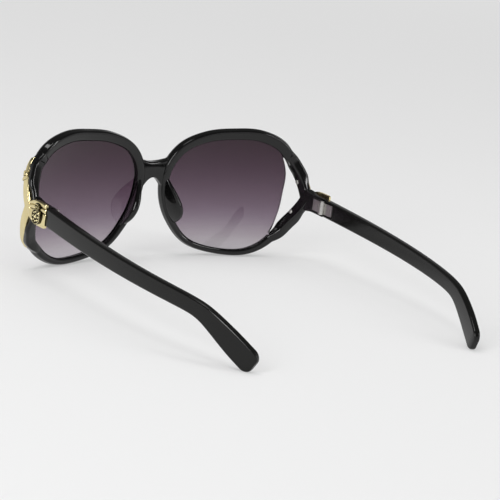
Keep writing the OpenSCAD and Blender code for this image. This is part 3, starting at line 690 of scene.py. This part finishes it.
temple = dict(reach=125, height=7.8, tipHeight=9.6, thickness=4.1, tipThickness=2.9, drop=14, inset=17,
              bow=1.5, slopeShare=0.066, bendShare=0.81, softShare=0.05, taperShare=0.84, tipRound=3,
              tipThinning=0.45, edge=0.9, set=0.1, stations=150)


# Temple: a flat bar that bows out by 4 s (1-s), comes in by s^3 and turns down past the bend
def bendFrom(s):
    return s - temple["bendShare"] + np.hypot(s - temple["bendShare"], temple["softShare"])


def templePoint(s):
    bend = (bendFrom(s) - bendFrom(0)) / (bendFrom(1) - bendFrom(0))
    return column(endIn + temple["set"] + temple["thickness"] / 2 + temple["bow"] * 4 * s * (1 - s)
                  - temple["inset"] * s ** 3,
                  hingeAt[1] + endPiece["jointGap"] / 2 + temple["reach"] * s,
                  hingeAt[2] - temple["reach"] * temple["slopeShare"] * s - temple["drop"] * bend)


# Rounded bar along that line, thinner towards the tip, with a quarter round at its end
def templeShell():
    span = temple["tipRound"] / temple["reach"]
    t = np.linspace(0, 1, temple["stations"])
    turn = np.radians(np.linspace(8, 84, 12))
    s = np.concatenate([(1 - span) * t, 1 - span * (1 - np.sin(turn))])
    cut = np.concatenate([0 * t, temple["tipRound"] * (1 - np.cos(turn))])
    d = 0.002
    along = unit(templePoint(s + d) - templePoint(s - d))
    along[0] = [0, 1, 0]  # the first face is square to the end piece
    up = unit(np.array([0, 0, 1]) - along[:, 2:] * along)
    side = np.cross(along, up)
    half = (temple["thickness"] + (temple["tipThickness"] - temple["thickness"]) * s) / 2
    half = half * (1 - temple["tipThinning"] * cut / temple["tipRound"])
    taper = temple["taperShare"]
    high = (temple["height"] * (1 - (1 - taper) * ease(s / temple["bendShare"]))
            + (temple["tipHeight"] - temple["height"] * taper)
            * ease((s - temple["bendShare"] + temple["softShare"]) / (1 - temple["bendShare"])))
    ring = roundRect(half, high / 2 - cut, np.minimum(temple["edge"], half * 0.7))
    return skin(templePoint(s)[:, None] + side[:, None] * ring[..., :1] + up[:, None] * ring[..., 1:])


def makeTemples(material):
    shell = templeShell()
    for mirrored, name, body, node in ((False, "templeLeft", "left_temple", "temple_left"),
                                       (True, "templeRight", "right_temple", "temple_right")):
        piece = meshPiece(name, [mirroredShell(shell) if mirrored else shell])
        cutOut(piece, hingeCutters(1, mirrored))
        finishPiece(piece, material, body, "frame", node)


# Materials
def newMaterial(name):
    material = bpy.data.materials.new(name)
    material.use_nodes = True
    tree = material.node_tree
    return material, tree, tree.nodes["Principled BSDF"]


def addNode(tree, kind, **values):
    node = tree.nodes.new(kind)
    for key, value in values.items():
        if key in node.inputs:
            node.inputs[key].default_value = value
        else:
            setattr(node, key, value)
    return node


# Carries the range (low, high) over into the target range
def mapRange(tree, low, high, target=(0, 1), **values):
    ends = {"From Min": low, "From Max": high, "To Min": target[0], "To Max": target[1]}
    return addNode(tree, "ShaderNodeMapRange", **values, **ends)


wear = dict(smudgeScale=60.0, hairScale=(900.0, 90.0, 1400.0), hairTurn=(0.3, 0.5, 0.2),
            rippleScale=420.0, rippleDepth=0.0002)


# Fine wear of a handled surface: roughness = base + smudges + hairlines, and a faint ripple
def wearGroup():
    group = bpy.data.node_groups.new("handledSurface", "ShaderNodeTree")
    for name in ("Base Roughness", "Smudge", "Hairline", "Ripple"):
        group.interface.new_socket(name, in_out="INPUT", socket_type="NodeSocketFloat")
    group.interface.new_socket("Roughness", in_out="OUTPUT", socket_type="NodeSocketFloat")
    group.interface.new_socket("Normal", in_out="OUTPUT", socket_type="NodeSocketVector")
    given = group.nodes.new("NodeGroupInput")
    result = group.nodes.new("NodeGroupOutput")
    where = group.nodes.new("ShaderNodeTexCoord")
    smudge = addNode(group, "ShaderNodeTexNoise", Scale=wear["smudgeScale"], Detail=4.0, Roughness=0.6)
    stretch = addNode(group, "ShaderNodeMapping", Scale=wear["hairScale"], Rotation=wear["hairTurn"])
    hair = addNode(group, "ShaderNodeTexNoise", Scale=1.0, Detail=2.0)
    ripple = addNode(group, "ShaderNodeTexNoise", Scale=wear["rippleScale"], Detail=2.0)
    link = group.links.new
    link(where.outputs["Object"], smudge.inputs["Vector"])
    link(where.outputs["Object"], stretch.inputs["Vector"])
    link(stretch.outputs["Vector"], hair.inputs["Vector"])
    link(where.outputs["Object"], ripple.inputs["Vector"])
    first = addNode(group, "ShaderNodeMath", operation="MULTIPLY_ADD")
    second = addNode(group, "ShaderNodeMath", operation="MULTIPLY_ADD")
    link(smudge.outputs["Fac"], first.inputs[0])
    link(given.outputs["Smudge"], first.inputs[1])
    link(given.outputs["Base Roughness"], first.inputs[2])
    link(hair.outputs["Fac"], second.inputs[0])
    link(given.outputs["Hairline"], second.inputs[1])
    link(first.outputs[0], second.inputs[2])
    link(second.outputs[0], result.inputs["Roughness"])
    bump = addNode(group, "ShaderNodeBump", Distance=wear["rippleDepth"])
    link(given.outputs["Ripple"], bump.inputs["Strength"])
    link(ripple.outputs["Fac"], bump.inputs["Height"])
    link(bump.outputs["Normal"], result.inputs["Normal"])
    return group


def addWear(tree, shader, group, look):
    worn = tree.nodes.new("ShaderNodeGroup")
    worn.node_tree = group
    for name, key in (("Base Roughness", "roughness"), ("Smudge", "smudge"), ("Hairline", "hairline"),
                      ("Ripple", "ripple")):
        worn.inputs[name].default_value = look[key]
    tree.links.new(worn.outputs["Roughness"], shader.inputs["Roughness"])
    tree.links.new(worn.outputs["Normal"], shader.inputs["Normal"])


plastics = dict(
    frontPlastic=dict(colour=(0.003, 0.003, 0.003), roughness=0.03, smudge=0.06, hairline=0.05,
                      ripple=0.02, refraction=1.5, gloss=0.5),
    templePlastic=dict(colour=(0.005, 0.005, 0.0045), roughness=0.06, smudge=0.08, hairline=0.05,
                       ripple=0.02, refraction=1.5, gloss=0.36))
unevenBlack = dict(scale=35.0, least=0.7, most=1.3)


# Polished black plastic, slightly uneven in its black
def blackPlastic(name, group):
    look = plastics[name]
    material, tree, shader = newMaterial(name)
    noise = addNode(tree, "ShaderNodeTexNoise", Scale=unevenBlack["scale"], Detail=3.0)
    where = tree.nodes.new("ShaderNodeTexCoord")
    tree.links.new(where.outputs["Object"], noise.inputs["Vector"])
    ramp = tree.nodes.new("ShaderNodeValToRGB")
    for element, share in zip(ramp.color_ramp.elements, (unevenBlack["least"], unevenBlack["most"])):
        element.color = (*[c * share for c in look["colour"]], 1)
    tree.links.new(noise.outputs["Fac"], ramp.inputs["Fac"])
    tree.links.new(ramp.outputs["Color"], shader.inputs["Base Color"])
    shader.inputs["IOR"].default_value = look["refraction"]
    shader.inputs["Specular IOR Level"].default_value = look["gloss"]
    addWear(tree, shader, group, look)
    return material


# Lens tint: what the lens lets through over its height, dark at the top and pale at the foot.
# Lamps shine through it
lensLook = dict(lowest=0.004, highest=0.057, roughness=0.02, refraction=1.5)
tintShares = {0.0: (0.56, 0.53, 0.56), 0.1: (0.42, 0.37, 0.41), 0.25: (0.22, 0.165, 0.22),
              0.4: (0.15, 0.1, 0.14), 0.6: (0.078, 0.042, 0.068), 0.8: (0.042, 0.016, 0.032),
              1.0: (0.02, 0.004, 0.012)}


def lensTint():
    material, tree, shader = newMaterial("lensTint")
    where = tree.nodes.new("ShaderNodeTexCoord")
    split = tree.nodes.new("ShaderNodeSeparateXYZ")
    spread = mapRange(tree, lensLook["lowest"], lensLook["highest"])
    ramp = tree.nodes.new("ShaderNodeValToRGB")
    ramp.color_ramp.interpolation = "B_SPLINE"
    while len(ramp.color_ramp.elements) < len(tintShares):
        ramp.color_ramp.elements.new(0.5)
    for element, (share, colour) in zip(ramp.color_ramp.elements, tintShares.items()):
        element.position = share
        element.color = (*colour, 1)
    link = tree.links.new
    link(where.outputs["Object"], split.inputs[0])
    link(split.outputs["Z"], spread.inputs["Value"])
    link(spread.outputs["Result"], ramp.inputs["Fac"])
    link(ramp.outputs["Color"], shader.inputs["Base Color"])
    shader.inputs["Transmission Weight"].default_value = 1.0
    shader.inputs["Roughness"].default_value = lensLook["roughness"]
    shader.inputs["IOR"].default_value = lensLook["refraction"]
    clear = tree.nodes.new("ShaderNodeBsdfTransparent")
    link(ramp.outputs["Color"], clear.inputs["Color"])
    path = tree.nodes.new("ShaderNodeLightPath")
    mix = tree.nodes.new("ShaderNodeMixShader")
    link(path.outputs["Is Shadow Ray"], mix.inputs["Fac"])
    link(shader.outputs[0], mix.inputs[1])
    link(clear.outputs[0], mix.inputs[2])
    link(mix.outputs[0], tree.nodes["Material Output"].inputs["Surface"])
    return material


# hollowShade is the dark colour painted into the hollows as shade; on the antique gold it is also that
# finish's patina
metals = dict(
    goldTrim=dict(colour=(0.95, 0.82, 0.46), mottle=(0.87, 0.73, 0.38), hollowShade=(0.06, 0.045, 0.025),
                  hollow=0.25, roughness=0.1, smudge=0.08, hairline=0.06, ripple=0.03),
    antiqueGold=dict(colour=(0.82, 0.72, 0.42), mottle=(0.6, 0.52, 0.3), hollowShade=(0.035, 0.03, 0.022),
                     hollow=0.45, roughness=0.16, smudge=0.08, hairline=0.06, ripple=0.03),
    hingeNickel=dict(colour=(0.66, 0.65, 0.62), mottle=(0.5, 0.49, 0.47), roughness=0.26, smudge=0.08,
                     hairline=0.06, ripple=0.03))
plating = dict(mottleScale=90.0, mottleFrom=0.32, mottleTo=0.58, grainScale=1400.0, grainShare=0.35,
               edgeWidth=0.4)


# Cast and plated metal: a mottled plating whose hollows, by the relief attribute, are darkened with painted
# shade, which on the antique gold also stands for its patina
def castMetal(name, group):
    look = metals[name]
    material, tree, shader = newMaterial(name)
    where = tree.nodes.new("ShaderNodeTexCoord")
    noise = addNode(tree, "ShaderNodeTexNoise", Scale=plating["mottleScale"], Detail=5.0)
    ramp = tree.nodes.new("ShaderNodeValToRGB")
    for element, key, end in zip(ramp.color_ramp.elements, ("mottle", "colour"), ("From", "To")):
        element.color = (*look[key], 1)
        element.position = plating["mottle" + end]
    link = tree.links.new
    link(where.outputs["Object"], noise.inputs["Vector"])
    link(noise.outputs["Fac"], ramp.inputs["Fac"])
    if "hollowShade" in look:
        # Painted shade: where the relief share, broken by grain, falls to hollow, the colour turns to the
        # dark hollowShade
        raised = addNode(tree, "ShaderNodeAttribute", attribute_name="relief")
        grain = addNode(tree, "ShaderNodeTexNoise", Scale=plating["grainScale"], Detail=3.0)
        broken = addNode(tree, "ShaderNodeMath", operation="MULTIPLY_ADD")
        broken.inputs[1].default_value = plating["grainShare"]
        shown = mapRange(tree, look["hollow"], look["hollow"] + plating["edgeWidth"],
                         interpolation_type="SMOOTHSTEP")
        mix = addNode(tree, "ShaderNodeMix", data_type="RGBA")
        link(where.outputs["Object"], grain.inputs["Vector"])
        link(grain.outputs["Fac"], broken.inputs[0])
        link(raised.outputs["Fac"], broken.inputs[2])
        link(broken.outputs[0], shown.inputs["Value"])
        link(shown.outputs["Result"], mix.inputs["Factor"])
        mix.inputs[6].default_value = (*look["hollowShade"], 1)
        link(ramp.outputs["Color"], mix.inputs[7])
        link(mix.outputs[2], shader.inputs["Base Color"])
    else:
        link(ramp.outputs["Color"], shader.inputs["Base Color"])
    shader.inputs["Metallic"].default_value = 1.0
    addWear(tree, shader, group, look)
    return material


handled = wearGroup()
frontPlastic = blackPlastic("frontPlastic", handled)
templePlastic = blackPlastic("templePlastic", handled)
tint = lensTint()
gold = castMetal("goldTrim", handled)
antique = castMetal("antiqueGold", handled)
nickel = castMetal("hingeNickel", handled)
print("materials made")

makeFront(frontPlastic)
makeLenses(tint)
print("front and lenses made")
makeTrims(gold)
makeRosettes(antique)
print("trims made")
makeTemples(templePlastic)
for node, piece in frame["nodes"].items():
    if any(word in node for word in ("leaf", "screw", "rivets")):
        piece.data.materials.clear()
        piece.data.materials.append(nickel)
print("temples and hinges made")

# Stage: a pale floor that runs into the backdrop, with a dark ceiling over it in what gloss mirrors
stage = dict(floorColour=(0.83, 0.83, 0.83), floorRoughness=0.8, floorSize=14.0, shownShare=0.45,
             shownFrom=0.5, shownTo=3.0, backdrop=(0.83, 0.83, 0.83), ambient=0.4, ceiling=0.15,
             ceilingFrom=0.12, ceilingTo=0.5, mirrorShare=0.86, aim=(0, 0, 0.02))
lamps = dict(
    overheadBox=dict(at=(-0.1, -0.1, 2.4), size=(2.4, 2.4), power=28.0, mirrored=False),
    leftSoftbox=dict(at=(0.8, 0.25, 0.5), size=(0.24, 0.5), power=3.2, mirrored=True),
    rightStrip=dict(at=(-0.6, 0.7, 0.45), size=(0.08, 0.8), power=2.0, mirrored=True),
    topSoftbox=dict(at=(0.3, -0.15, 1.2), size=(0.3, 0.45), power=2.0, mirrored=True))


# 1 on rays from the camera and on those that gloss and glass pass on
def seenRay(tree):
    path = tree.nodes.new("ShaderNodeLightPath")
    seen = path.outputs["Is Camera Ray"]
    for ray in ("Is Glossy Ray", "Is Transmission Ray"):
        either = addNode(tree, "ShaderNodeMath", operation="MAXIMUM")
        tree.links.new(seen, either.inputs[0])
        tree.links.new(path.outputs[ray], either.inputs[1])
        seen = either.outputs[0]
    return seen


# Gloss mirrors the floor and the backdrop a little darker than the camera sees them
def dimmedInGloss(tree):
    path = tree.nodes.new("ShaderNodeLightPath")
    mirrored = addNode(tree, "ShaderNodeMath", operation="MULTIPLY")
    dimmed = mapRange(tree, 0, 1, (1, stage["mirrorShare"]))
    tree.links.new(path.outputs["Is Glossy Ray"], mirrored.inputs[0])
    tree.links.new(path.outputs["Is Reflection Ray"], mirrored.inputs[1])
    tree.links.new(mirrored.outputs[0], dimmed.inputs["Value"])
    return dimmed.outputs["Result"]


def makeFloor():
    s = stage["floorSize"] / 2
    mesh = bpy.data.meshes.new("floor")
    mesh.from_pydata([(-s, -s, 0), (s, -s, 0), (s, s, 0), (-s, s, 0)], [], [(0, 1, 2, 3)])
    floor = bpy.data.objects.new("floor", mesh)
    bpy.context.scene.collection.objects.link(floor)
    material, tree, shader = newMaterial("floorPaper")
    shader.inputs["Base Color"].default_value = (*stage["floorColour"], 1)
    shader.inputs["Roughness"].default_value = stage["floorRoughness"]
    shown = addNode(tree, "ShaderNodeEmission", Color=(*stage["floorColour"], 1))
    where = tree.nodes.new("ShaderNodeTexCoord")
    away = addNode(tree, "ShaderNodeVectorMath", operation="LENGTH")
    share = mapRange(tree, stage["shownFrom"], stage["shownTo"], (stage["shownShare"], 1))
    part = addNode(tree, "ShaderNodeMath", operation="MULTIPLY")
    mix = tree.nodes.new("ShaderNodeMixShader")
    link = tree.links.new
    link(where.outputs["Object"], away.inputs[0])
    link(away.outputs["Value"], share.inputs["Value"])
    link(share.outputs["Result"], part.inputs[1])
    link(seenRay(tree), part.inputs[0])
    link(part.outputs[0], mix.inputs["Fac"])
    link(shader.outputs[0], mix.inputs[1])
    link(shown.outputs[0], mix.inputs[2])
    dimmed = tree.nodes.new("ShaderNodeMixShader")
    link(dimmedInGloss(tree), dimmed.inputs["Fac"])
    link(mix.outputs[0], dimmed.inputs[2])
    link(dimmed.outputs[0], tree.nodes["Material Output"].inputs["Surface"])
    floor.data.materials.append(material)


def addLamp(name, at, size, power, mirrored):
    data = bpy.data.lights.new(name, "AREA")
    data.shape = "RECTANGLE"
    data.size, data.size_y = size
    data.energy = power
    lamp = bpy.data.objects.new(name, data)
    lamp.visible_glossy = mirrored
    lamp.location = at
    lamp.rotation_euler = (Vector(stage["aim"]) - Vector(at)).to_track_quat("-Z", "Y").to_euler()
    bpy.context.scene.collection.objects.link(lamp)


def makeStage():
    makeFloor()
    world = bpy.data.worlds.new("studio")
    bpy.context.scene.world = world
    world.use_nodes = True
    tree = world.node_tree
    background = tree.nodes["Background"]
    background.inputs["Color"].default_value = (*stage["backdrop"], 1)
    where = tree.nodes.new("ShaderNodeTexCoord")
    height = tree.nodes.new("ShaderNodeSeparateXYZ")
    ceiling = mapRange(tree, stage["ceilingFrom"], stage["ceilingTo"], (1, stage["ceiling"]),
                       interpolation_type="SMOOTHSTEP")
    ambient = addNode(tree, "ShaderNodeMix", data_type="FLOAT")
    ambient.inputs[2].default_value = stage["ambient"]
    link = tree.links.new
    link(where.outputs["Generated"], height.inputs[0])
    link(height.outputs["Z"], ceiling.inputs["Value"])
    link(seenRay(tree), ambient.inputs["Factor"])
    link(ceiling.outputs["Result"], ambient.inputs[3])
    strength = addNode(tree, "ShaderNodeMath", operation="MULTIPLY")
    link(ambient.outputs[0], strength.inputs[0])
    link(dimmedInGloss(tree), strength.inputs[1])
    link(strength.outputs[0], background.inputs["Strength"])
    for name, values in lamps.items():
        addLamp(name, **values)


# The photograph's viewing angle, closer up
camera = dict(azimuth=142.1, elevation=13.0, distance=0.776, roll=7.0, lens=134, sensor=36,
              clipStart=0.01, target=(0.0009, -0.0003, 0.0236))


def makeCamera():
    a, e = np.radians(camera["azimuth"]), np.radians(camera["elevation"])
    back = Vector((np.sin(a) * np.cos(e), -np.cos(a) * np.cos(e), np.sin(e)))
    data = bpy.data.cameras.new("camera")
    data.lens = camera["lens"]
    data.sensor_width = camera["sensor"]
    data.clip_start = camera["clipStart"]
    viewer = bpy.data.objects.new("camera", data)
    turn = back.to_track_quat("Z", "Y").to_matrix().to_4x4()
    turn = turn @ Matrix.Rotation(np.radians(camera["roll"]), 4, "Z")
    viewer.matrix_world = Matrix.Translation(Vector(camera["target"]) + back * camera["distance"]) @ turn
    bpy.context.scene.collection.objects.link(viewer)
    bpy.context.scene.camera = viewer


makeStage()
makeCamera()
bpy.context.scene.view_settings.view_transform = "Standard"
print("stage, lamps and camera made")
